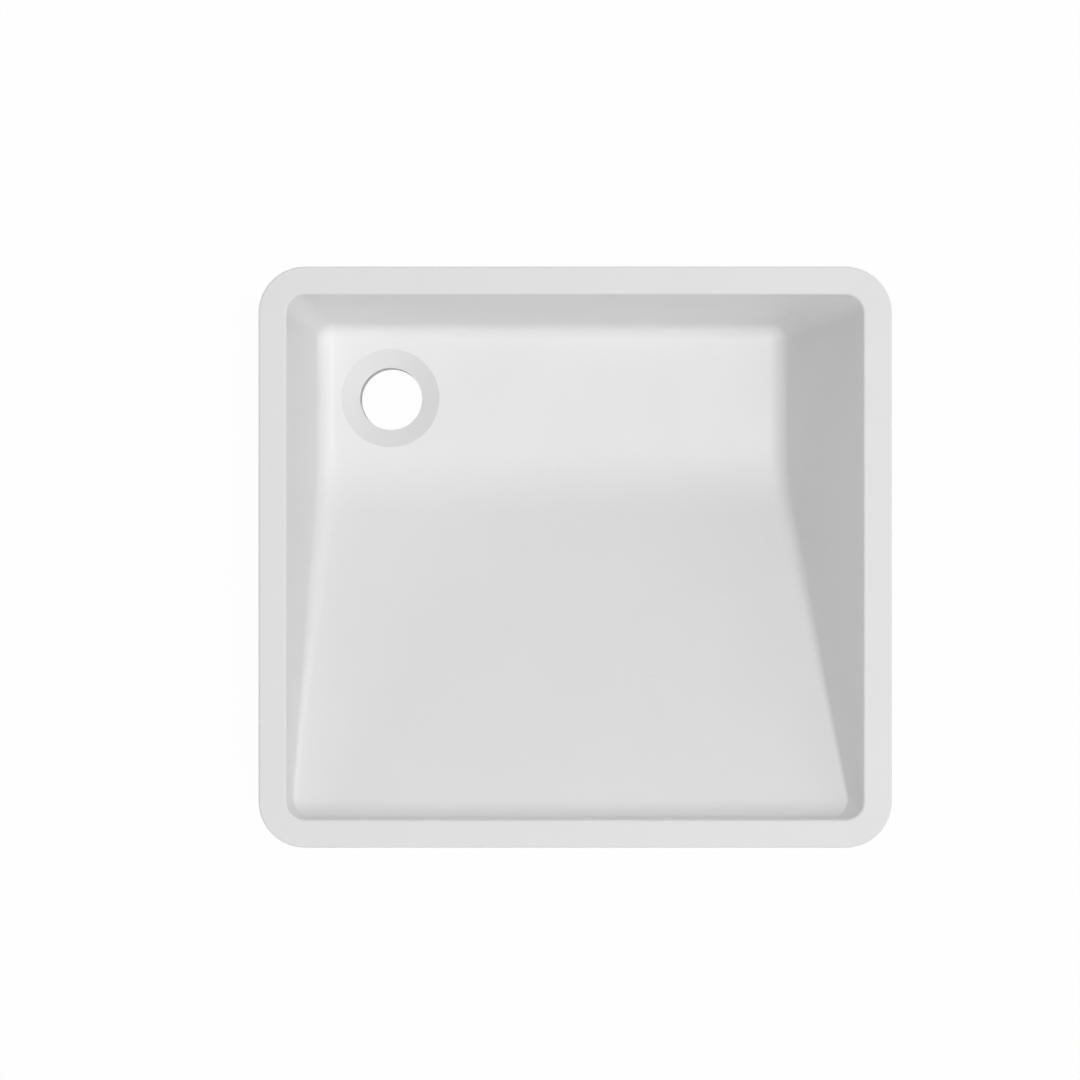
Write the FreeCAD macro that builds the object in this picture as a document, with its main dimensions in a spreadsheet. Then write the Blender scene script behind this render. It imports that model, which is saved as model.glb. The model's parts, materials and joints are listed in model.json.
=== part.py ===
"""Undermount bathroom sink: a cast bowl with a ramped floor, and the swing clips that hold it up.

The frame is the bowl's own: the origin is the centre of the rim's top face, +X to the right,
+Y to the back and +Z up, in millimetres. The bowl hangs below z = 0.
"""
import FreeCAD, Part
import os

import Sketcher

Vector = FreeCAD.Vector
TOUCH = 0.01  # two faces or edges closer than this lie together, in millimetres

# Driving sizes in millimetres and degrees, with what each one measures.
SIZES = [
    ("opening_length", 366.0, "opening at the rim, left to right"),
    ("opening_width", 333.0, "opening at the rim, front to back"),
    ("corner_radius", 11.8, "upright corners of the basin"),
    ("rim_width", 17.8, "flat rim around the opening"),
    ("rim_thickness", 12.0, "rim, top face to underside"),
    ("rim_round", 1.5, "round on the rim's edges"),
    ("bowl_depth", 120.0, "rim to the flat part of the floor"),
    ("flat_run", 114.2, "flat floor, from the back edge to where the ramp begins"),
    ("lip_depth", 17.7, "rim to the line where the ramp would meet the front wall"),
    ("break_radius", 90.0, "hollow bend between the flat floor and the ramp"),
    ("draft_angle", 1.5, "lean of the left, back and front walls, in degrees"),
    ("side_lean", 15.0, "lean of the right wall, in degrees"),
    ("wall_thickness", 6.0, "walls of the casting"),
    ("floor_thickness", 8.0, "floor and ramp of the casting"),
    ("floor_round", 11.8, "hollow round where the walls meet the flat floor"),
    ("ramp_round", 2.5, "the same round at the ramp's front corners"),
    ("lip_round", 15.0, "hollow round where the ramp meets the front wall"),
    ("under_round", 12.0, "round along the bottom of the casting"),
    ("drain_from_left", 54.0, "drain axis from the left edge of the opening"),
    ("drain_from_back", 54.5, "drain axis from the back edge of the opening"),
    ("drain_bore", 44.5, "diameter of the drain hole"),
    ("drain_land", 12.0, "length of the drain hole's straight wall"),
    ("recess_diameter", 70.0, "shallow cone around the drain, at the floor"),
    ("recess_depth", 5.0, "depth of that cone"),
    ("boss_diameter", 80.0, "thickened pad under the floor, around the drain"),
    ("boss_round", 3.0, "hollow round where that pad meets the floor"),
    ("clip_spacing", 180.0, "between the two clip screws on each side"),
    ("clip_inset", 5.1, "clip screw axis from the rim's outer edge"),
    ("clip_reach", 32.0, "between the two holes of a clip"),
    ("clip_width", 9.0, "width of a clip, and its ends' diameter"),
    ("clip_thickness", 2.0, "thickness of a clip"),
    ("clip_hole", 4.5, "diameter of a clip's two holes"),
    ("clip_chamfer", 0.3, "broken edge around a clip"),
    ("insert_diameter", 5.6, "threaded insert, outside"),
    ("insert_bore", 4.0, "threaded insert, inside"),
    ("insert_length", 8.8, "threaded insert, end to end"),
    ("washer_diameter", 9.0, "washer, outside"),
    ("washer_thickness", 0.8, "washer"),
    ("screw_diameter", 3.4, "screw shank"),
    ("screw_grip", 7.0, "length of shank inside the insert"),
    ("head_diameter", 7.6, "pan head of the screw"),
    ("head_height", 2.4, "pan head of the screw"),
    ("head_round", 1.3, "round on the pan head"),
    ("slot_length", 4.6, "cross recess in the screw head, tip to tip"),
    ("slot_width", 1.0, "cross recess in the screw head"),
    ("slot_depth", 1.5, "cross recess in the screw head"),
    ("fit_gap", 0.3, "clearance around each insert"),
    ("swing_gap", 0.2, "clearance above and below a turning clip"),
    ("overshoot", 5.0, "how far a cutting form runs past the face that it opens"),
]

# Expressions that several features share.
OUTER_LENGTH = "(sizes.opening_length + 2 * sizes.rim_width)"
OUTER_WIDTH = "(sizes.opening_width + 2 * sizes.rim_width)"
DRAFT = "(sizes.draft_angle * 1 deg)"
SIDE_LEAN = "(sizes.side_lean * 1 deg)"
RAMP_SLOPE = "((sizes.bowl_depth - sizes.lip_depth) / (sizes.opening_width - sizes.flat_run))"
RAMP_STRETCH = f"sqrt(1 + {RAMP_SLOPE} ^ 2)"
DRAIN_X = "sizes.drain_from_left - sizes.opening_length / 2"
DRAIN_Y = "sizes.opening_width / 2 - sizes.drain_from_back"
SIDE_X = "(sizes.opening_length / 2 + sizes.rim_width - sizes.clip_inset)"
END_Y = "(sizes.opening_width / 2 + sizes.rim_width - sizes.clip_inset)"
SIDE_Y = "sizes.clip_spacing / 2"
END_X = "-sizes.clip_reach / 2"
HEAD_SEAT = "(2 * sizes.swing_gap + sizes.clip_thickness + sizes.washer_thickness)"

# Each wall: its name, the plane that its section lies in, its way outwards, the opening across and its lean.
WALLS = [
    ("left", "XZ_Plane", -1, "sizes.opening_length", DRAFT),
    ("right", "XZ_Plane", 1, "sizes.opening_length", SIDE_LEAN),
    ("back", "YZ_Plane", 1, "sizes.opening_width", DRAFT),
    ("front", "YZ_Plane", -1, "sizes.opening_width", DRAFT),
]

# Each clip: its name, the place of its screw, and the way it points when parked along the rim.
CLIPS = [
    ("clip_left_back", f"-{SIDE_X}", SIDE_Y, -90),
    ("clip_left_front", f"-{SIDE_X}", f"-{SIDE_Y}", 90),
    ("clip_right_back", SIDE_X, SIDE_Y, -90),
    ("clip_right_front", SIDE_X, f"-{SIDE_Y}", 90),
    ("clip_back", END_X, END_Y, 0),
    ("clip_front", END_X, f"-{END_Y}", 0),
]

doc = FreeCAD.newDocument("undermount_sink")


def fill_sheet():
    """Put every driving size in the spreadsheet, under its own alias."""
    sheet = doc.addObject("Spreadsheet::Sheet", "sizes")
    for row, (alias, value, meaning) in enumerate(SIZES, start=1):
        sheet.set(f"A{row}", meaning)
        sheet.set(f"B{row}", str(value))
        sheet.setAlias(f"B{row}", alias)
    doc.recompute()
    return sheet


def bind(thing, **expressions):
    """Bind properties of an object to expressions, with a dot in a name written as two underscores."""
    for name, expression in expressions.items():
        thing.setExpression(name.replace("__", "."), expression)


def place(thing, x, y, z, heading=0):
    """Turn an object about the upright axis and bind its place."""
    thing.Placement = FreeCAD.Placement(Vector(0, 0, 0), FreeCAD.Rotation(Vector(0, 0, 1), heading))
    bind(thing, Placement__Base__x=x, Placement__Base__y=y, Placement__Base__z=z)


def new_body(name):
    """Make an empty body whose label is its name."""
    return doc.addObject("PartDesign::Body", name)


def new_sketch(body, name, role, lift="0"):
    """Make a sketch on one of a body's own planes, moved along the plane's normal."""
    sketch = body.newObject("Sketcher::SketchObject", name)
    plane = next(item for item in body.Origin.OriginFeatures if item.Role == role)
    sketch.AttachmentSupport = [(plane, "")]
    sketch.MapMode = "FlatFace"
    bind(sketch, AttachmentOffset__Base__z=lift)
    return sketch


def draw_loop(sketch, corners, arcs):
    """Draw a closed outline through corner points, anticlockwise wherever it has an arc.

    A corner's number in arcs makes the side that starts there an arc through the given point.
    """
    for index, start in enumerate(corners):
        end = corners[(index + 1) % len(corners)]
        start_point = Vector(*start, 0)
        end_point = Vector(*end, 0)
        if index in arcs:
            sketch.addGeometry(Part.Arc(start_point, Vector(*arcs[index], 0), end_point))
        else:
            sketch.addGeometry(Part.LineSegment(start_point, end_point))


def constrain(sketch, *parts, name=None, size=None):
    """Add one constraint, and bind its value to an expression where it has one."""
    index = sketch.addConstraint(Sketcher.Constraint(*parts))
    if name:
        sketch.renameConstraint(index, name)
        sketch.setExpression(f"Constraints.{name}", size)


def draw_rectangle(sketch, length, width):
    """Draw a rectangle about the sketch's origin."""
    draw_loop(sketch, [(-60, -40), (60, -40), (60, 40), (-60, 40)], {})
    for line in range(4):
        constrain(sketch, "Coincident", line, 2, (line + 1) % 4, 1)
        constrain(sketch, ("Horizontal", "Vertical")[line % 2], line)
    constrain(sketch, "Symmetric", 0, 1, 1, 2, -1, 1)
    constrain(sketch, "DistanceX", 0, 1, 0, 2, 120, name="length", size=length)
    constrain(sketch, "DistanceY", 1, 1, 1, 2, 80, name="width", size=width)


def draw_circle(sketch, diameter):
    """Draw a circle about the sketch's origin."""
    sketch.addGeometry(Part.Circle(Vector(0, 0, 0), Vector(0, 0, 1), 3))
    constrain(sketch, "Coincident", 0, 3, -1, 1)
    constrain(sketch, "Diameter", 0, 6, name="across", size=diameter)


def upright_edges(shape):
    """Name the edges that run between the shape's top and its bottom."""
    tall = shape.BoundBox.ZLength * 0.9
    return [f"Edge{n}" for n, edge in enumerate(shape.Edges, 1) if edge.BoundBox.ZLength > tall]


def round_edges(body, base, name, edges, radius):
    """Round named edges of a body's last feature."""
    feature = body.newObject("PartDesign::Fillet", name)
    feature.Base = (base, edges)
    bind(feature, Radius=radius)
    body.Tip = feature
    doc.recompute()
    return feature


def upright_block(name, length, width, top, height):
    """Make a body: a rectangle at a given height, padded straight down."""
    body = new_body(name)
    sketch = new_sketch(body, f"{name}_outline", "XY_Plane", top)
    draw_rectangle(sketch, length, width)
    pad = body.newObject("PartDesign::Pad", f"{name}_pad")
    pad.Profile = sketch
    pad.Reversed = True
    bind(pad, Length=height)
    body.Tip = pad
    doc.recompute()
    return body


def leaning_block(name, top, height, outside, corner):
    """Make a body with leaning walls and rounded corners, its walls a given way outside the basin's."""
    body = upright_block(name, OUTER_LENGTH, OUTER_WIDTH, top, height)
    for wall, role, way, half, lean in WALLS:
        cut_beside_wall(body, f"{name}_{wall}", role, way, f"{half} / 2 + {outside} / cos({lean})", lean)
    round_edges(body, body.Tip, f"{name}_corners", upright_edges(body.Shape), corner)
    return body


def cut_beside_wall(body, name, role, way, distance, lean):
    """Cut away all that lies outside one leaning wall, which meets the rim's plane at a distance."""
    sketch = new_sketch(body, f"{name}_profile", role)
    draw_loop(sketch, [(120 * way, -250), (190 * way, 10), (220 * way, 10), (220 * way, -250)], {})
    wall, above, beside, below = range(4)
    for line in range(4):
        constrain(sketch, "Coincident", line, 2, (line + 1) % 4, 1)
    for line, heading in ((above, "Horizontal"), (beside, "Vertical"), (below, "Horizontal")):
        constrain(sketch, heading, line)
    edge = sketch.addGeometry(Part.Point(Vector(187 * way, 0, 0)), True)
    constrain(sketch, "PointOnObject", edge, 1, wall)
    constrain(sketch, "PointOnObject", edge, 1, -1)
    for point, name_of, size in (
        ((edge, 1), "distance", distance),
        ((beside, 1), "reach", f"{distance} + 4 * sizes.rim_width"),
    ):
        ends = (-1, 1, *point) if way > 0 else (*point, -1, 1)
        constrain(sketch, "DistanceX", *ends, 200, name=name_of, size=size)
    constrain(sketch, "Angle", wall, 1.57 - 0.27 * way, name="lean", size=f"90 deg - {way} * {lean}")
    constrain(sketch, "DistanceY", -1, 1, above, 1, 10, name="above", size="2 * sizes.overshoot")
    constrain(sketch, "DistanceY", below, 2, -1, 1, 250, name="below", size="2 * sizes.bowl_depth")
    return cut_through(body, name, sketch)


def cut_through(body, name, sketch):
    """Cut a sketch's outline right through a body, both ways."""
    before = body.Shape.Volume
    pocket = body.newObject("PartDesign::Pocket", f"{name}_cut")
    pocket.Profile = sketch
    pocket.Type = "ThroughAll"
    pocket.Midplane = True
    body.Tip = pocket
    doc.recompute()
    if pocket.Shape.isNull() or pocket.Shape.Volume >= before:
        raise RuntimeError(f"{name}: nothing was cut")
    return pocket


def cut_below_ramp(body, name, depth, run, lip, bend):
    """Cut away all that lies under a floor: flat at the back, then a bend, then a ramp to the front."""
    sketch = new_sketch(body, f"{name}_profile", "YZ_Plane")
    corners = [(-200, 3), (22, -106), (62, -115), (200, -115), (200, -300), (-200, -300)]
    draw_loop(sketch, corners, {1: (42, -112.5)})
    ramp, bend_arc, floor, back, bottom, front = range(6)
    constrain(sketch, "Tangent", ramp, 2, bend_arc, 1)
    constrain(sketch, "Tangent", bend_arc, 2, floor, 1)
    for line, following, way in (
        (floor, back, "Horizontal"),
        (back, bottom, "Vertical"),
        (bottom, front, "Horizontal"),
        (front, ramp, "Vertical"),
    ):
        constrain(sketch, "Coincident", line, 2, following, 1)
        constrain(sketch, way, line)
    foot = sketch.addGeometry(Part.Point(Vector(40, -115, 0)), True)
    edge = sketch.addGeometry(Part.Point(Vector(-152, -20, 0)), True)
    for point, line in ((foot, floor), (foot, ramp), (edge, ramp)):
        constrain(sketch, "PointOnObject", point, 1, line)
    reach = f"{OUTER_WIDTH} / 2"
    constrain(sketch, "DistanceY", floor, 2, -1, 1, 115, name="depth", size=depth)
    constrain(sketch, "DistanceX", -1, 1, floor, 2, 200, name="back", size=reach)
    constrain(sketch, "DistanceX", ramp, 1, -1, 1, 200, name="front", size=reach)
    constrain(sketch, "DistanceY", back, 2, -1, 1, 300, name="bottom", size="2 * sizes.bowl_depth")
    constrain(sketch, "DistanceX", foot, 1, floor, 2, 160, name="run", size=f"{run} + sizes.rim_width")
    constrain(sketch, "DistanceX", edge, 1, -1, 1, 152, name="place", size="sizes.opening_width / 2")
    constrain(sketch, "DistanceY", edge, 1, -1, 1, 20, name="lip", size=lip)
    constrain(sketch, "Radius", bend_arc, 90, name="bend", size=bend)
    return cut_through(body, name, sketch)


def floor_loop(shape):
    """Find the edges between the floor's faces and the walls, in order around the floor.

    Each entry is the edge's number and its two ends, in the order that the loop runs.
    """
    def faces_down(face):
        low_u, high_u, low_v, high_v = face.ParameterRange
        return face.normalAt((low_u + high_u) / 2, (low_v + high_v) / 2).z < -0.5

    def mark(edge):
        return tuple(round(value, 3) for value in edge.CenterOfMass)

    uses = {}
    for face in filter(faces_down, shape.Faces):
        for edge in face.Edges:
            uses[mark(edge)] = uses.get(mark(edge), 0) + 1
    waiting = [number for number, edge in enumerate(shape.Edges, 1) if uses.get(mark(edge)) == 1]
    loop = []
    while waiting:
        for number in waiting:
            edge = shape.Edges[number - 1]
            start = edge.firstVertex().Point
            end = edge.lastVertex().Point
            if loop and end.isEqual(loop[-1][2], TOUCH):
                start, end = end, start
            if not loop or start.isEqual(loop[-1][2], TOUCH):
                loop.append((number, start, end))
                waiting.remove(number)
                break
        else:
            raise RuntimeError("the floor's edges do not join up")
    return loop


def make_lip():
    """Make a long bar whose hollow face leads from the ramp up into the front wall."""
    body = new_body("lip_form")
    sketch = new_sketch(body, "lip_profile", "YZ_Plane")
    draw_loop(sketch, [(-166, -8), (-158, -22), (-158, -120), (-184, -120), (-184, -8)], {0: (-164, -16)})
    hollow, back, bottom, front, top = range(5)
    for line, way in ((back, "Vertical"), (bottom, "Horizontal"), (front, "Vertical"), (top, "Horizontal")):
        constrain(sketch, "Coincident", line - 1, 2, line, 1)
        constrain(sketch, way, line)
    constrain(sketch, "Coincident", top, 2, hollow, 1)
    ramp = sketch.addGeometry(Part.LineSegment(Vector(-158, -22, 0), Vector(-166, -18, 0)), True)
    constrain(sketch, "Tangent", hollow, 2, ramp, 1)
    constrain(sketch, "Angle", ramp, 2.7, name="slope", size=f"180 deg - atan({RAMP_SLOPE})")
    constrain(sketch, "DistanceX", ramp, 2, -1, 1, 166, name="place", size="sizes.opening_width / 2")
    constrain(sketch, "DistanceY", ramp, 2, -1, 1, 18, name="lip", size="sizes.lip_depth")
    constrain(sketch, "Radius", hollow, 15, name="round", size="sizes.lip_round")
    constrain(sketch, "Vertical", hollow, 1, ramp, 2)
    constrain(sketch, "Horizontal", hollow, 1, hollow, 3)
    constrain(sketch, "DistanceY", bottom, 1, -1, 1, 120, name="bottom", size="sizes.bowl_depth")
    constrain(sketch, "DistanceX", front, 1, -1, 1, 184, name="front", size=f"{OUTER_WIDTH} / 2")
    pad = body.newObject("PartDesign::Pad", "lip_bar")
    pad.Profile = sketch
    pad.Midplane = True
    bind(pad, Length=OUTER_LENGTH)
    body.Tip = pad
    doc.recompute()
    return body


def make_basin(sheet):
    """Make the basin's hollow as a solid: leaning walls, flat floor, ramp and hollow rounds."""
    body = leaning_block(
        "basin_form",
        "sizes.overshoot",
        "sizes.bowl_depth + 2 * sizes.overshoot",
        "0",
        "sizes.corner_radius",
    )
    cut_below_ramp(
        body,
        "floor",
        "sizes.bowl_depth",
        "sizes.flat_run",
        "sizes.lip_depth",
        "sizes.break_radius",
    )
    loop = floor_loop(body.Shape)

    # The round is full along the flat floor and narrows along the ramp's sides to its front. It is
    # no wider than the upright corners that it runs around.
    ends = [point for _, start, end in loop for point in (start, end)]
    ramp_foot = max(point.y for point in ends if point.z > TOUCH - sheet.bowl_depth)

    def radius_at(point):
        wide = min(sheet.floor_round, sheet.corner_radius)
        return wide if point.y > ramp_foot - TOUCH else min(sheet.ramp_round, wide)

    rounded = doc.addObject("Part::Fillet", "basin_rounds")
    rounded.Base = body
    rounded.Edges = [(number, radius_at(start), radius_at(end)) for number, start, end in loop]
    basin = doc.addObject("Part::Cut", "basin_with_lip")
    basin.Base = rounded
    basin.Tool = make_lip()
    doc.recompute()
    return basin


def make_hull():
    """Make the casting's outside below the rim: leaning walls and the underside of floor and ramp."""
    body = leaning_block(
        "hull_form",
        "-sizes.rim_thickness / 2",
        "sizes.bowl_depth + sizes.floor_thickness + sizes.overshoot",
        "sizes.wall_thickness",
        "sizes.corner_radius + sizes.wall_thickness",
    )
    pocket = cut_below_ramp(
        body,
        "underside",
        "sizes.bowl_depth + sizes.floor_thickness",
        f"sizes.flat_run + sizes.floor_thickness * ({RAMP_STRETCH} - 1) / {RAMP_SLOPE}",
        f"sizes.lip_depth + sizes.floor_thickness * {RAMP_STRETCH}",
        "sizes.break_radius + sizes.floor_thickness",
    )
    edges = [f"Edge{number}" for number, _, _ in floor_loop(pocket.Shape)]
    round_edges(body, pocket, "underside_rounds", edges, "sizes.under_round")
    return body


def make_cylinder(name, diameter, height, x, y, z):
    """Make an upright cylinder with its foot at a place."""
    cylinder = doc.addObject("Part::Cylinder", name)
    bind(cylinder, Radius=f"({diameter}) / 2", Height=height)
    place(cylinder, x, y, z)
    return cylinder


def make_drain_cut():
    """Make the drain's hollow: a shallow cone in the floor and a straight hole through the boss."""
    cone = doc.addObject("Part::Cone", "drain_cone")
    bind(cone, Radius1="sizes.drain_bore / 2", Radius2="sizes.recess_diameter / 2")
    bind(cone, Height="sizes.recess_depth")
    place(cone, DRAIN_X, DRAIN_Y, "-sizes.bowl_depth - sizes.recess_depth")
    hole = make_cylinder(
        "drain_hole",
        "sizes.drain_bore",
        "sizes.recess_depth + sizes.drain_land + 2 * sizes.overshoot",
        DRAIN_X,
        DRAIN_Y,
        "-sizes.bowl_depth - sizes.recess_depth - sizes.drain_land - sizes.overshoot",
    )
    return [cone, hole]


def rim_edges(shape, sheet):
    """Name the edges of the rim's top face, and those of its outline on the underside."""
    outer_x = sheet.opening_length / 2 + sheet.rim_width
    outer_y = sheet.opening_width / 2 + sheet.rim_width
    edges = []
    for number, edge in enumerate(shape.Edges, 1):
        box = edge.BoundBox
        from_side = outer_x - max(-box.XMin, box.XMax)
        from_end = outer_y - max(-box.YMin, box.YMax)
        on_top = abs(box.ZMin) < TOUCH
        on_underside = abs(box.ZMin + sheet.rim_thickness) < TOUCH and box.ZLength < TOUCH
        if on_top or on_underside and min(from_side, from_end) < TOUCH:
            edges.append(f"Edge{number}")
    return edges


def make_bowl(sheet):
    """Make the cast bowl: rim, hull and drain boss, hollowed by basin, drain and insert holes."""
    rim = upright_block("rim_form", OUTER_LENGTH, OUTER_WIDTH, "0", "sizes.rim_thickness")
    rim_corner = "sizes.corner_radius + sizes.rim_width"
    round_edges(rim, rim.Tip, "rim_corners", upright_edges(rim.Shape), rim_corner)
    boss = make_cylinder(
        "drain_boss",
        "sizes.boss_diameter",
        "sizes.recess_depth + sizes.drain_land - sizes.floor_thickness / 2",
        DRAIN_X,
        DRAIN_Y,
        "-sizes.bowl_depth - sizes.recess_depth - sizes.drain_land",
    )
    solid = doc.addObject("Part::MultiFuse", "casting_form")
    solid.Shapes = [rim, make_hull(), boss]
    holes = [
        make_cylinder(
            f"{name}_hole",
            "sizes.insert_diameter + 2 * sizes.fit_gap",
            "sizes.insert_length + sizes.overshoot",
            x,
            y,
            "-sizes.rim_thickness - sizes.overshoot",
        )
        for name, x, y, _ in CLIPS
    ]
    hollow = doc.addObject("Part::MultiFuse", "hollow_form")
    hollow.Shapes = [make_basin(sheet), *make_drain_cut(), *holes]
    cast = doc.addObject("Part::Cut", "cast_form")
    cast.Base = solid
    cast.Tool = hollow
    doc.recompute()

    bowl = new_body("bowl")
    bowl.BaseFeature = cast
    doc.recompute()
    base = bowl.Tip
    rounds = round_edges(bowl, base, "rim_rounds", rim_edges(base.Shape, sheet), "sizes.rim_round")
    foot = -sheet.bowl_depth - sheet.floor_thickness
    boss_edges = [
        f"Edge{number}"
        for number, edge in enumerate(rounds.Shape.Edges, 1)
        if abs(edge.BoundBox.ZMax - foot) < TOUCH
        and abs(edge.BoundBox.XLength - sheet.boss_diameter) < TOUCH
    ]
    round_edges(bowl, rounds, "boss_rounds", boss_edges, "sizes.boss_round")
    return bowl


def make_clip(name, x, y, heading):
    """Make one flat clip: a strap with round ends and a hole at each end, turning about the first."""
    body = new_body(name)
    sketch = new_sketch(body, f"{name}_outline", "XY_Plane")
    draw_loop(sketch, [(0, -4), (30, -4), (30, 4), (0, 4)], {1: (34, 0), 3: (-4, 0)})
    for line in range(4):
        constrain(sketch, "Tangent", line, 2, (line + 1) % 4, 1)
    constrain(sketch, "Coincident", 3, 3, -1, 1)
    constrain(sketch, "PointOnObject", 1, 3, -1)
    constrain(sketch, "DistanceX", 3, 3, 1, 3, 30, name="reach", size="sizes.clip_reach")
    constrain(sketch, "Radius", 1, 4, name="end", size="sizes.clip_width / 2")
    for index, arc in enumerate((3, 1)):
        hole = sketch.addGeometry(Part.Circle(Vector(30 * index, 0, 0), Vector(0, 0, 1), 2))
        constrain(sketch, "Coincident", hole, 3, arc, 3)
        constrain(sketch, "Diameter", hole, 4, name=f"hole_{index}", size="sizes.clip_hole")
    pad = body.newObject("PartDesign::Pad", f"{name}_pad")
    pad.Profile = sketch
    pad.Reversed = True
    bind(pad, Length="sizes.clip_thickness")
    doc.recompute()
    chamfer = body.newObject("PartDesign::Chamfer", f"{name}_edges")
    long_edges = [
        f"Edge{n}" for n, edge in enumerate(pad.Shape.Edges, 1)
        if edge.BoundBox.ZLength < TOUCH and not edge.isClosed()
    ]
    chamfer.Base = (pad, long_edges)
    bind(chamfer, Size="sizes.clip_chamfer")
    body.Tip = chamfer
    place(body, x, y, "-sizes.rim_thickness - sizes.swing_gap", heading)
    return body


def make_ring(name, outside, inside, height):
    """Make a plain ring that hangs down from its own origin."""
    body = new_body(name)
    sketch = new_sketch(body, f"{name}_outline", "XY_Plane")
    for index, across in enumerate((outside, inside)):
        circle = sketch.addGeometry(Part.Circle(Vector(0, 0, 0), Vector(0, 0, 1), 4 - 2 * index))
        constrain(sketch, "Coincident", circle, 3, -1, 1)
        constrain(sketch, "Diameter", circle, 8 - 4 * index, name=f"across_{index}", size=across)
    pad = body.newObject("PartDesign::Pad", f"{name}_pad")
    pad.Profile = sketch
    pad.Reversed = True
    bind(pad, Length=height)
    body.Tip = pad
    doc.recompute()
    return body


def make_screw():
    """Make one pan-head screw: the seat of its head is at its own origin and its shank points up."""
    body = new_body("screw_form")
    for part, across, height, down in (
        ("head", "sizes.head_diameter", "sizes.head_height", True),
        ("shank", "sizes.screw_diameter", f"{HEAD_SEAT} + sizes.screw_grip", False),
    ):
        sketch = new_sketch(body, f"screw_{part}_outline", "XY_Plane")
        draw_circle(sketch, across)
        pad = body.newObject("PartDesign::Pad", f"screw_{part}")
        pad.Profile = sketch
        pad.Reversed = down
        bind(pad, Length=height)
        body.Tip = pad
        doc.recompute()
    lowest = pad.Shape.BoundBox.ZMin
    edges = [
        f"Edge{number}" for number, edge in enumerate(pad.Shape.Edges, 1)
        if abs(edge.BoundBox.ZMax - lowest) < TOUCH
    ]
    round_edges(body, pad, "screw_dome", edges, "sizes.head_round")
    for part, length, width in (
        ("slot_along", "sizes.slot_length", "sizes.slot_width"),
        ("slot_across", "sizes.slot_width", "sizes.slot_length"),
    ):
        before = body.Shape.Volume
        sketch = new_sketch(body, f"screw_{part}_outline", "XY_Plane", "-sizes.head_height")
        draw_rectangle(sketch, length, width)
        pocket = body.newObject("PartDesign::Pocket", f"screw_{part}")
        pocket.Profile = sketch
        pocket.Reversed = True
        bind(pocket, Length="sizes.slot_depth")
        body.Tip = pocket
        doc.recompute()
        if body.Shape.Volume >= before:
            raise RuntimeError(f"{part}: the screw's cross recess was not cut")
    return body


def make_group(name, form, z):
    """Repeat one fastener at every clip, as one group."""
    copies = []
    for clip, x, y, _ in CLIPS:
        link = doc.addObject("App::Link", f"{name}_{clip}")
        link.LinkedObject = form
        place(link, x, y, z)
        copies.append(link)
    group = doc.addObject("Part::Compound", name)
    group.Links = copies
    return group


def check_document():
    """Stop if any object of the document failed to build."""
    for item in doc.Objects:
        if "Invalid" in item.State or "Error" in item.State:
            raise RuntimeError(f"{item.Label}: {item.State}")


def main():
    """Build the sink, check every object, and write one file for each piece."""
    sheet = fill_sheet()
    pieces = [make_bowl(sheet)]
    pieces += [make_clip(*clip) for clip in CLIPS]
    insert = make_ring("insert_form", "sizes.insert_diameter", "sizes.insert_bore", "sizes.insert_length")
    washer = make_ring("washer_form", "sizes.washer_diameter", "sizes.clip_hole", "sizes.washer_thickness")
    washer_seat = "-sizes.rim_thickness - 2 * sizes.swing_gap - sizes.clip_thickness"
    pieces += [
        make_group("clip_inserts", insert, "sizes.insert_length - sizes.rim_thickness"),
        make_group("clip_washers", washer, washer_seat),
        make_group("clip_screws", make_screw(), f"-sizes.rim_thickness - {HEAD_SEAT}"),
    ]
    doc.recompute()
    check_document()
    for piece in pieces:
        shape = piece.Shape
        if shape.isNull() or not shape.isValid() or not shape.Solids:
            raise RuntimeError(f"{piece.Label}: no valid solid")
    os.makedirs("parts", exist_ok=True)
    for piece in pieces:
        piece.Shape.exportStep(f"parts/{piece.Label}.step")
        box = piece.Shape.optimalBoundingBox()
        print(f"{piece.Label}: {len(piece.Shape.Solids)} solid(s), {piece.Shape.Volume / 1000:.2f} cm3,"
              f" {box.XLength:.1f} x {box.YLength:.1f} x {box.ZLength:.1f} mm")


main()
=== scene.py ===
"""Undermount bathroom sink with a ramped floor: its finishes, floor, light and camera."""

import json
import logging
import math
from dataclasses import dataclass, field, replace
from enum import Enum
from typing import Mapping, Optional, Sequence, Union

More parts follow.
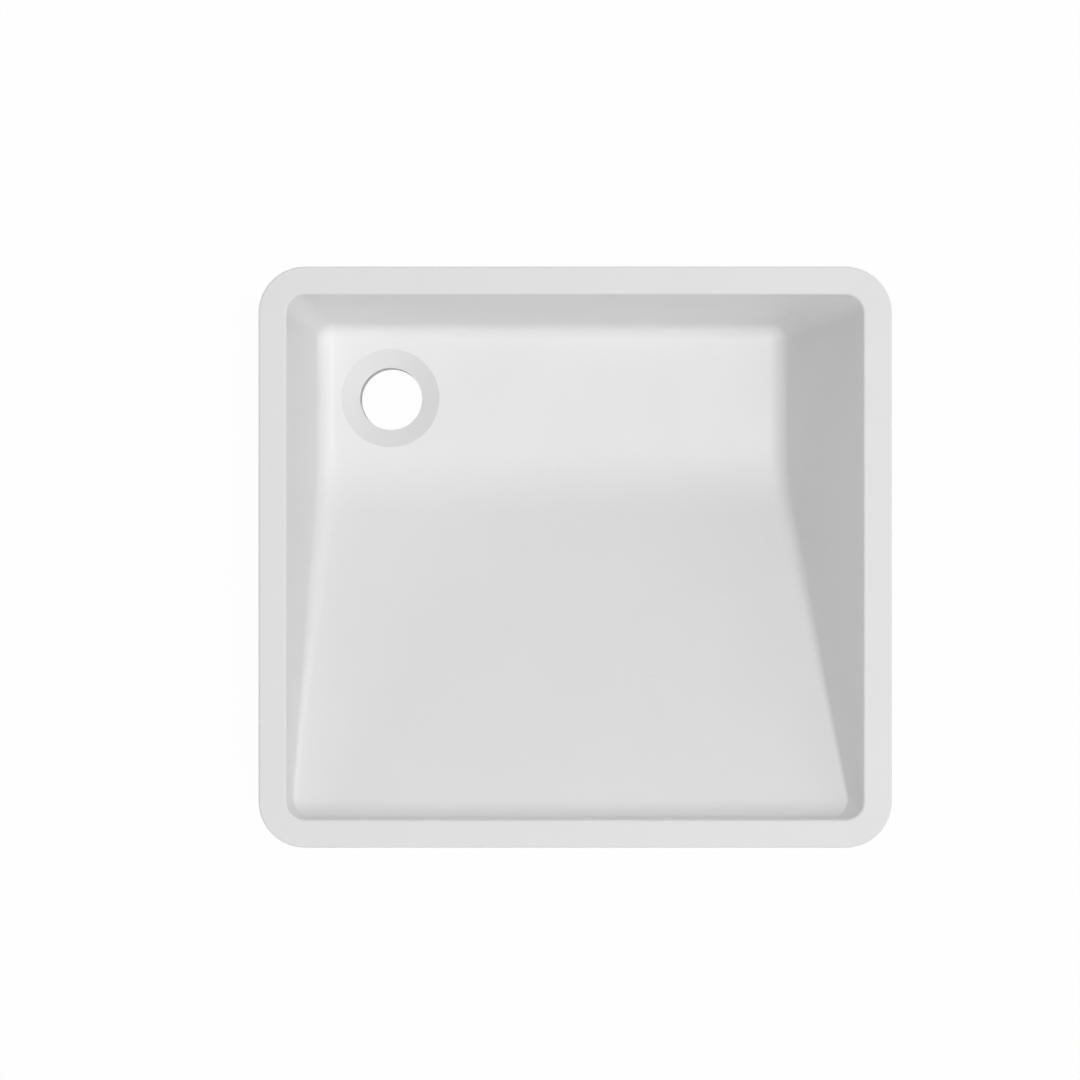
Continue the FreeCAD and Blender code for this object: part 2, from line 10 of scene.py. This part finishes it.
import bmesh
import bpy
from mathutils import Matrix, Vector


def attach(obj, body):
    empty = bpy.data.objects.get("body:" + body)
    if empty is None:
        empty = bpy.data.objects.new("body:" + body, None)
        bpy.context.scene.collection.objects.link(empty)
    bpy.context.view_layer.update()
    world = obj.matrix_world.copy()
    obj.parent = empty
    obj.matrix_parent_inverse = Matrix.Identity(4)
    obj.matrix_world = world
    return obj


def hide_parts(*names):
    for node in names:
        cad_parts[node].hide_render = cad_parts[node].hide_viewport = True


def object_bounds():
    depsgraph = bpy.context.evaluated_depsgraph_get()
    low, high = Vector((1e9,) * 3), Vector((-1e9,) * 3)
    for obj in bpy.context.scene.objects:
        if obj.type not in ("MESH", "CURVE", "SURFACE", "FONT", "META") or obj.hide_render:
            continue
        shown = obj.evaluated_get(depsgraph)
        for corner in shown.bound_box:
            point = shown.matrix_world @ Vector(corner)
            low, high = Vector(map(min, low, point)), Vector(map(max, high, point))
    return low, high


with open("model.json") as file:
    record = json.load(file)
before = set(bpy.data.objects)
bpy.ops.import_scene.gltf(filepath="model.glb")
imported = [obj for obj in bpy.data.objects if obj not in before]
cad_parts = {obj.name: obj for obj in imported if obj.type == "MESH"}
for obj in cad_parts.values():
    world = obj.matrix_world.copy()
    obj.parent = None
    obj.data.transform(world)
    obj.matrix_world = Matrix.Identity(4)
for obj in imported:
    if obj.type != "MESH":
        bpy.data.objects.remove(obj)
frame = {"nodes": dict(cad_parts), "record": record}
CAD_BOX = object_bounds()

log = logging.getLogger("sink")

Colour = tuple[float, float, float]
Point = tuple[float, float, float]
Value = Union[float, Sequence[float], "Sock"]

WHITE = (1.0, 1.0, 1.0, 1.0)
SEEN_RAYS = ("Is Camera Ray", "Is Glossy Ray", "Is Transmission Ray")
MIX_SHARE, MIX_FIRST, MIX_SECOND, MIX_RESULT = 0, 6, 7, 2  # colour sockets of the Mix node
NOISE_MIDDLE = 0.5  # the level that a noise varies around
CLOUD_DETAIL = 3.0
SPECK_DETAIL = 1.0
STREAK_DETAIL = 4.0
UNSTRETCHED = (1.0, 1.0, 1.0)
ALONG_BRUSHING = 0.02  # a small factor draws the pattern out into long streaks
MM_PER_M = 1000.0


class Sock:
    """One output of a shader tree, so that shader maths reads as Python expressions."""

    def __init__(self, tree: "ShaderTree", socket: bpy.types.NodeSocket) -> None:
        """Keep the tree and the output that this wraps."""
        self.tree = tree
        self.socket = socket

    def _math(self, operation: str, first: Value, second: Value) -> "Sock":
        """Add one Math node and give its result."""
        return self.tree.make("ShaderNodeMath", {"operation": operation}, {0: first, 1: second})

    def __add__(self, other: Value) -> "Sock":
        """Self plus other."""
        return self._math("ADD", self, other)

    def __radd__(self, other: Value) -> "Sock":
        """Other plus self."""
        return self._math("ADD", other, self)

    def __sub__(self, other: Value) -> "Sock":
        """Self minus other."""
        return self._math("SUBTRACT", self, other)

    def __rsub__(self, other: Value) -> "Sock":
        """Other minus self."""
        return self._math("SUBTRACT", other, self)

    def __mul__(self, other: Value) -> "Sock":
        """Self times other."""
        return self._math("MULTIPLY", self, other)

    def __rmul__(self, other: Value) -> "Sock":
        """Other times self."""
        return self._math("MULTIPLY", other, self)

    def at_least(self, other: Value) -> "Sock":
        """The larger of self and other."""
        return self._math("MAXIMUM", self, other)

    def step(self, low: float, high: float) -> "Sock":
        """Rise smoothly from 0 to 1 between two levels.

        Args:
            low: the level where the rise starts.
            high: the level where it ends.

        Returns:
            The smooth step.
        """
        return self.tree.make(
            "ShaderNodeMapRange",
            {"interpolation_type": "SMOOTHSTEP"},
            {"Value": self, "From Min": low, "From Max": high},
        )


class ShaderTree:
    """The node tree of one material or of the world."""

    def __init__(self, owner: Union[bpy.types.Material, bpy.types.World], output: str) -> None:
        """Empty the owner's tree and give it an output node.

        Args:
            owner: the material or world.
            output: the type of its output node.
        """
        owner.use_nodes = True
        self.nodes = owner.node_tree.nodes
        self.links = owner.node_tree.links
        self.nodes.clear()
        self.output = self.nodes.new(output)

    def make(
        self,
        kind: str,
        settings: Optional[Mapping[str, object]] = None,
        sockets: Optional[Mapping[Union[str, int], Value]] = None,
        out: Union[str, int] = 0,
    ) -> Sock:
        """Add a node.

        Args:
            kind: the node's type.
            settings: its properties, set before its sockets.
            sockets: values or links for its inputs, by name or number.
            out: the output to return, by name or number.

        Returns:
            The chosen output.
        """
        node = self.nodes.new(kind)
        for key, setting in (settings or {}).items():
            setattr(node, key, setting)
        for key, value in (sockets or {}).items():
            if isinstance(value, Sock):
                self.links.new(value.socket, node.inputs[key])
            else:
                node.inputs[key].default_value = value
        return Sock(self, node.outputs[out])

    def place(self, stretch: Point = UNSTRETCHED) -> Sock:
        """Object coordinates, stretched per axis.

        Args:
            stretch: the factor on each axis.

        Returns:
            The coordinates, in metres where nothing is stretched.
        """
        spot = self.make("ShaderNodeTexCoord", out="Object")
        if stretch == UNSTRETCHED:
            return spot
        return self.make("ShaderNodeMapping", {"vector_type": "POINT"}, {"Vector": spot, "Scale": stretch})

    def noise(self, spot: Sock, size: float, detail: float) -> Sock:
        """Cloudy noise with clouds of the given size, and with so many finer layers."""
        return self.make("ShaderNodeTexNoise", None, {"Vector": spot, "Scale": 1.0 / size, "Detail": detail})

    def tint(self, share: Value, first: Union[Colour, Sock], second: Colour) -> Sock:
        """Mix two colours.

        Args:
            share: how much of the second shows.
            first: the colour at 0.
            second: the colour at 1.

        Returns:
            The mixed colour.
        """
        settings = {"data_type": "RGBA", "blend_type": "MIX"}
        start = first if isinstance(first, Sock) else (*first, 1.0)
        sockets = {MIX_SHARE: share, MIX_FIRST: start, MIX_SECOND: (*second, 1.0)}
        return self.make("ShaderNodeMix", settings, sockets, out=MIX_RESULT)

    def bump(self, height: Sock, depth: float) -> Sock:
        """Turn a relief from 0 to 1 into a normal, where 1 stands for the depth in metres."""
        return self.make("ShaderNodeBump", None, {"Height": height, "Distance": depth, "Strength": 1.0})

    def seen(self) -> Sock:
        """Tell the rays of the eye, of gloss and of clear pieces from the rays of light.

        Returns:
            1 for what is seen and 0 for what only lights.
        """
        camera, gloss, clear = (self.make("ShaderNodeLightPath", out=way) for way in SEEN_RAYS)
        return camera.at_least(gloss).at_least(clear)

    def surface(self, shader: Sock) -> None:
        """Send a shader to the output."""
        self.links.new(shader.socket, self.output.inputs["Surface"])


def new_material(name: str) -> tuple[bpy.types.Material, ShaderTree]:
    """Make an empty material and give it with its tree."""
    material = bpy.data.materials.new(name)
    return material, ShaderTree(material, "ShaderNodeOutputMaterial")


@dataclass(frozen=True)
class CastFinish:
    """White mineral casting: faint clouds in the colour, a fine grain, and a scatter of specks."""

    name: str
    colour: Colour
    cloud_colour: Colour
    speck_colour: Colour
    cloud_size: float
    grain_size: float
    grain_depth: float
    roughness: float
    roughness_spread: float
    cloud_edges: tuple[float, float] = (0.3, 0.7)
    cloud_roughness: float = 0.03
    speck_to_grain: float = 2.5
    speck_edges: tuple[float, float] = (0.68, 0.76)
    speck_share: float = 0.5
    refraction: float = 1.5

    def material(self) -> bpy.types.Material:
        """Build the finish.

        Returns:
            The material.
        """
        material, tree = new_material(self.name)
        spot = tree.place()
        clouds = tree.noise(spot, self.cloud_size, CLOUD_DETAIL).step(*self.cloud_edges)
        grain = tree.noise(spot, self.grain_size, CLOUD_DETAIL)
        speck_size = self.grain_size * self.speck_to_grain
        specks = tree.noise(spot, speck_size, SPECK_DETAIL).step(*self.speck_edges)
        body = tree.tint(clouds, self.colour, self.cloud_colour)
        colour = tree.tint(specks * self.speck_share, body, self.speck_colour)
        spread = (grain - NOISE_MIDDLE) * self.roughness_spread
        rough = self.roughness + spread + clouds * self.cloud_roughness
        normal = tree.bump(grain, self.grain_depth)
        shader = tree.make(
            "ShaderNodeBsdfPrincipled",
            None,
            {"Base Color": colour, "Roughness": rough, "IOR": self.refraction, "Normal": normal},
        )
        tree.surface(shader)
        return material


class Grain(Enum):
    """The axis that brushing runs along, as a factor on each of the pattern's coordinates."""

    ALONG_X = (ALONG_BRUSHING, 1.0, 1.0)
    ALONG_Y = (1.0, ALONG_BRUSHING, 1.0)
    NONE = UNSTRETCHED


@dataclass(frozen=True)
class MetalFinish:
    """Bare metal with brushed streaks or a fine turned grain, and small stains."""

    name: str
    colour: Colour
    stain_colour: Colour
    streak_size: float
    streak_depth: float
    roughness: float
    roughness_spread: float
    grain: Grain = Grain.NONE
    streak_share: float = 0.5
    stain_size: float = 0.006
    stain_edges: tuple[float, float] = (0.5, 0.72)
    stain_share: float = 0.6
    stain_roughness: float = 0.08

    def material(self) -> bpy.types.Material:
        """Build the finish.

        Returns:
            The material.
        """
        material, tree = new_material(f"{self.name}_{self.grain.name.lower()}")
        streaks = tree.noise(tree.place(self.grain.value), self.streak_size, STREAK_DETAIL)
        stains = tree.noise(tree.place(), self.stain_size, CLOUD_DETAIL).step(*self.stain_edges)
        ripple = streaks - NOISE_MIDDLE
        dulled = stains * self.stain_share + ripple * self.streak_share
        colour = tree.tint(dulled, self.colour, self.stain_colour)
        rough = self.roughness + ripple * self.roughness_spread + stains * self.stain_roughness
        shader = tree.make(
            "ShaderNodeBsdfPrincipled",
            None,
            {
                "Base Color": colour,
                "Metallic": 1.0,
                "Roughness": rough,
                "Normal": tree.bump(streaks, self.streak_depth),
            },
        )
        tree.surface(shader)
        return material


SANDED_FACE = CastFinish(
    "white_cast_sanded",
    colour=(0.840, 0.840, 0.840),
    cloud_colour=(0.833, 0.833, 0.833),
    speck_colour=(0.775, 0.775, 0.775),
    cloud_size=0.05,
    grain_size=0.0006,
    grain_depth=0.000004,
    roughness=0.46,
    roughness_spread=0.16,
)
# the rim's colour is a touch darker than the basin's: painted shade, so the lit rim reads darker than the
# floor; its roughness and grain are the ground finish
GROUND_RIM_PAINTED_SHADE = replace(
    SANDED_FACE,
    name="white_cast_ground_painted_shade",
    colour=(0.838, 0.838, 0.838),
    cloud_colour=(0.831, 0.831, 0.831),
    grain_size=0.0009,
    roughness=0.66,
)
# the cone's greyer colour is painted shade of the drain recess; its grain and roughness are the routed
# finish
ROUTED_CONE_PAINTED_SHADE = replace(
    SANDED_FACE,
    name="white_cast_routed_painted_shade",
    colour=(0.786, 0.786, 0.786),
    cloud_colour=(0.775, 0.775, 0.775),
    grain_size=0.0008,
    grain_depth=0.000008,
    roughness=0.55,
)
# the bore's grey colours are painted shade of the dark hole wall, not the casting's own tone
BORE_PAINTED_SHADE = replace(
    SANDED_FACE,
    name="white_cast_bore_painted_shade",
    colour=(0.56, 0.56, 0.555),
    cloud_colour=(0.48, 0.48, 0.475),
    speck_colour=(0.40, 0.40, 0.395),
    cloud_size=0.006,
    grain_size=0.0012,
    grain_depth=0.00003,
    roughness=0.7,
)
CAST_BACK = CastFinish(
    "white_cast_raw",
    colour=(0.83, 0.828, 0.818),
    cloud_colour=(0.795, 0.792, 0.78),
    speck_colour=(0.68, 0.675, 0.66),
    cloud_size=0.03,
    grain_size=0.0016,
    grain_depth=0.00006,
    roughness=0.62,
    roughness_spread=0.25,
)
BRUSHED_STRAP = MetalFinish(
    "clip_steel",
    colour=(0.66, 0.665, 0.67),
    stain_colour=(0.48, 0.485, 0.49),
    streak_size=0.0005,
    streak_depth=0.00002,
    roughness=0.32,
    roughness_spread=0.3,
)
TURNED_STEEL = MetalFinish(
    "fastener_steel",
    colour=(0.70, 0.70, 0.70),
    stain_colour=(0.50, 0.50, 0.51),
    streak_size=0.0004,
    streak_depth=0.00001,
    roughness=0.26,
    roughness_spread=0.2,
)
TURNED_BRASS = MetalFinish(
    "insert_brass",
    colour=(0.78, 0.60, 0.30),
    stain_colour=(0.52, 0.37, 0.17),
    streak_size=0.0004,
    streak_depth=0.00001,
    roughness=0.34,
    roughness_spread=0.2,
)


class Zone(Enum):
    """The bowl's finishes, by their material slot."""

    FACE = 0
    RIM = 1
    BACK = 2
    CONE = 3
    BORE = 4


@dataclass
class CastBowl:
    """The one-piece casting: sanded basin, ground rim a touch darker as painted shade, routed drain cone and
    bore greyed with painted shade, and a hull as it left the mould.
    """

    node: str = "bowl"
    piece: str = "cast_bowl"
    drain: str = "drain_outlet"
    merge: float = 1e-6
    rim_round: float = 0.0016
    cone_radius: float = 0.0350
    cone_depth: float = 0.0050
    margin: float = 0.0001
    least_rise: float = 0.1
    most_overhang: float = 0.02
    finishes: tuple[CastFinish, ...] = (SANDED_FACE, GROUND_RIM_PAINTED_SHADE, CAST_BACK, ROUTED_CONE_PAINTED_SHADE, BORE_PAINTED_SHADE)
    drain_axis: Vector = field(init=False)
    bore_radius: float = field(init=False)
    floor_height: float = field(init=False)

    def __post_init__(self) -> None:
        """Take the drain's axis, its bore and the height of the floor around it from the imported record."""
        mount = next(row for row in frame["record"]["mounts"] if row["name"] == self.drain)
        x, y, middle = mount["pos_m"]
        self.drain_axis = Vector((x, y))
        self.bore_radius = mount["dims"]["r_mm"] / MM_PER_M
        self.floor_height = middle + mount["dims"]["length_mm"] / MM_PER_M / 2 + self.cone_depth

    def build(self) -> bpy.types.Object:
        """Copy the bowl's solid as one closed mesh that keeps the solid's own normals.

        Returns:
            The bowl's piece.
        """
        source = frame["nodes"][self.node].data
        form = bmesh.new()
        form.from_mesh(source)
        layer = form.loops.layers.float_vector.new("solid_normal")
        for face, polygon in zip(form.faces, source.polygons):
            face.smooth = True
            face.material_index = self.zone(face).value
            for loop, corner in zip(face.loops, polygon.loop_indices):
                loop[layer] = source.corner_normals[corner].vector
        bmesh.ops.remove_doubles(form, verts=form.verts, dist=self.merge)
        mesh = bpy.data.meshes.new(self.piece)
        form.to_mesh(mesh)
        form.free()
        normals = mesh.attributes["solid_normal"]
        mesh.normals_split_custom_set([corner.vector for corner in normals.data])
        mesh.attributes.remove(normals)
        piece = bpy.data.objects.new(self.piece, mesh)
        bpy.context.scene.collection.objects.link(piece)
        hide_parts(self.node)
        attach(piece, self.node)
        return piece

    def zone(self, face: bmesh.types.BMFace) -> Zone:
        """Tell the faces of the basin, the rim's top, the drain and the hull apart.

        Args:
            face: a face of the bowl.

        Returns:
            The face's zone.
        """
        spot, way = face.calc_center_median(), face.normal
        if spot.z > -self.rim_round:
            return Zone.RIM
        inward = spot.x * way.x + spot.y * way.y <= 0.0
        from_axis = (spot.xy - self.drain_axis).length
        if from_axis < self.bore_radius + self.margin:
            return Zone.BORE
        in_cone = from_axis < self.cone_radius + self.margin and spot.z < self.floor_height - self.margin
        if in_cone and way.z > self.least_rise:
            return Zone.CONE
        if way.z > self.least_rise or (inward and way.z > -self.most_overhang):
            return Zone.FACE
        return Zone.BACK

    def dress(self, piece: bpy.types.Object) -> None:
        """Give the piece its finishes, in the order of the zones."""
        for finish in self.finishes:
            piece.data.materials.append(finish.material())


@dataclass
class RimFixings:
    """Six swinging clips under the rim, with their screws, washers and threaded inserts."""

    side_clips: tuple[str, ...] = (
        "clip_left_back",
        "clip_left_front",
        "clip_right_back",
        "clip_right_front",
    )
    end_clips: tuple[str, ...] = ("clip_back", "clip_front")
    fasteners: tuple[str, ...] = ("clip_screws", "clip_washers")
    inserts: str = "clip_inserts"

    def dress(self) -> None:
        """Give each node of the fixings its metal."""
        side = replace(BRUSHED_STRAP, grain=Grain.ALONG_Y).material()
        end = replace(BRUSHED_STRAP, grain=Grain.ALONG_X).material()
        for name in self.side_clips:
            self.coat(name, side)
        for name in self.end_clips:
            self.coat(name, end)
        turned = TURNED_STEEL.material()
        for name in self.fasteners:
            self.coat(name, turned)
        self.coat(self.inserts, TURNED_BRASS.material())

    @staticmethod
    def coat(name: str, material: bpy.types.Material) -> None:
        """Put a material on a node.

        Args:
            name: the node.
            material: its finish.
        """
        node = frame["nodes"][name]
        node.material_slots[0].material = material
        log.info("%s wears %s", name, material.name)


@dataclass(frozen=True)
class Lamp:
    """A square soft box that looks at the middle of the sink, placed by compass angle and height angle."""

    name: str
    around: float
    above: float
    side: float
    power: float
    reach: float = 4.0

    def spot(self) -> Vector:
        """Work out where the box hangs.

        Returns:
            The place of its middle.
        """
        around, above = math.radians(self.around), math.radians(self.above)
        flat = math.cos(above)
        return self.reach * Vector((flat * math.cos(around), flat * math.sin(around), math.sin(above)))


@dataclass
class Studio:
    """A pale floor under the sink, soft boxes above it and even light all around."""

    floor_side: float = 6.0
    floor_colour: Colour = (0.82, 0.82, 0.82)
    floor_white: float = 0.97
    floor_drop: float = 0.0002
    ambient: float = 0.2
    lamps: tuple[Lamp, ...] = (
        Lamp("box_key", 0.0, 78.0, 0.8, 60.8),
        Lamp("box_front_right", 315.0, 52.0, 2.0, 21.0),
        Lamp("box_low_back_left", 135.0, 14.0, 2.0, 16.2),
        Lamp("box_right", 0.0, 32.0, 2.0, 11.9),
        Lamp("box_back_left", 135.0, 52.0, 2.0, 11.7),
        Lamp("box_low_front", 270.0, 14.0, 2.0, 10.7),
        Lamp("strip_back_right", 45.0, 7.0, 0.8, 9.7),
        Lamp("box_front", 270.0, 32.0, 2.0, 9.4),
        Lamp("box_back_right", 45.0, 32.0, 2.0, 8.0),
        Lamp("strip_front_left", 225.0, 7.0, 0.8, 7.8),
    )

    def build(self) -> None:
        """Lay the floor, hang the lamps and light the world."""
        self.lay_floor()
        for lamp in self.lamps:
            self.hang(lamp)
        self.light_world()

    def lay_floor(self) -> None:
        """Lay the floor just below the lowest point of the sink."""
        form = bmesh.new()
        bmesh.ops.create_grid(form, x_segments=1, y_segments=1, size=self.floor_side / 2)
        height = CAD_BOX[0][2] - self.floor_drop
        bmesh.ops.translate(form, verts=form.verts, vec=Vector((0.0, 0.0, height)))
        mesh = bpy.data.meshes.new("floor")
        form.to_mesh(mesh)
        form.free()
        floor = bpy.data.objects.new("floor", mesh)
        bpy.context.scene.collection.objects.link(floor)
        mesh.materials.append(self.floor_material())

    def floor_material(self) -> bpy.types.Material:
        """Build the floor's finish: near white to the eye and in gloss, matt to the light, clear from below.

        Returns:
            The material.
        """
        material, tree = new_material("floor_paper")
        matt = tree.make("ShaderNodeBsdfDiffuse", None, {"Color": (*self.floor_colour, 1.0)})
        white = tree.make("ShaderNodeEmission", None, {"Strength": 1.0})
        shown = tree.seen() * self.floor_white
        top = tree.make("ShaderNodeMixShader", None, {0: shown, 1: matt, 2: white})
        clear = tree.make("ShaderNodeBsdfTransparent")
        under = tree.make("ShaderNodeNewGeometry", out="Backfacing")
        tree.surface(tree.make("ShaderNodeMixShader", None, {0: under, 1: top, 2: clear}))
        return material

    @staticmethod
    def hang(lamp: Lamp) -> None:
        """Hang one soft box and turn it to the sink.

        Args:
            lamp: the box.
        """
        data = bpy.data.lights.new(lamp.name, "AREA")
        data.shape = "SQUARE"
        data.size = lamp.side
        data.energy = lamp.power
        box = bpy.data.objects.new(lamp.name, data)
        box.location = lamp.spot()
        box.rotation_euler = (-lamp.spot()).to_track_quat("-Z", "Y").to_euler()
        bpy.context.scene.collection.objects.link(box)

    def light_world(self) -> None:
        """Make the world white to the eye and in gloss, and even to the light."""
        world = bpy.data.worlds.new("studio")
        bpy.context.scene.world = world
        tree = ShaderTree(world, "ShaderNodeOutputWorld")
        even = tree.make("ShaderNodeBackground", None, {"Color": WHITE, "Strength": self.ambient})
        white = tree.make("ShaderNodeBackground", None, {"Color": WHITE, "Strength": 1.0})
        tree.surface(tree.make("ShaderNodeMixShader", None, {0: tree.seen(), 1: even, 2: white}))


@dataclass
class PlanCamera:
    """A camera that looks straight down on the sink."""

    spot: Point = (-0.02233, 0.01089, 0.9500)
    lens: float = 50.0
    sensor: float = 36.0
    nearest: float = 0.01

    def build(self) -> None:
        """Set up the camera."""
        data = bpy.data.cameras.new("plan_camera")
        data.sensor_width = self.sensor
        data.lens = self.lens
        data.clip_start = self.nearest
        camera = bpy.data.objects.new("plan_camera", data)
        camera.location = self.spot
        bpy.context.scene.collection.objects.link(camera)
        bpy.context.scene.camera = camera


def main() -> None:
    """Build the pieces in order and report each."""
    logging.basicConfig(level=logging.INFO, format="%(name)s: %(message)s")
    bpy.context.scene.view_settings.view_transform = "Standard"
    bowl = CastBowl()
    piece = bowl.build()
    bowl.dress(piece)
    log.info("%s has %d faces", piece.name, len(piece.data.polygons))
    RimFixings().dress()
    Studio().build()
    PlanCamera().build()


if __name__ == "__main__":
    main()
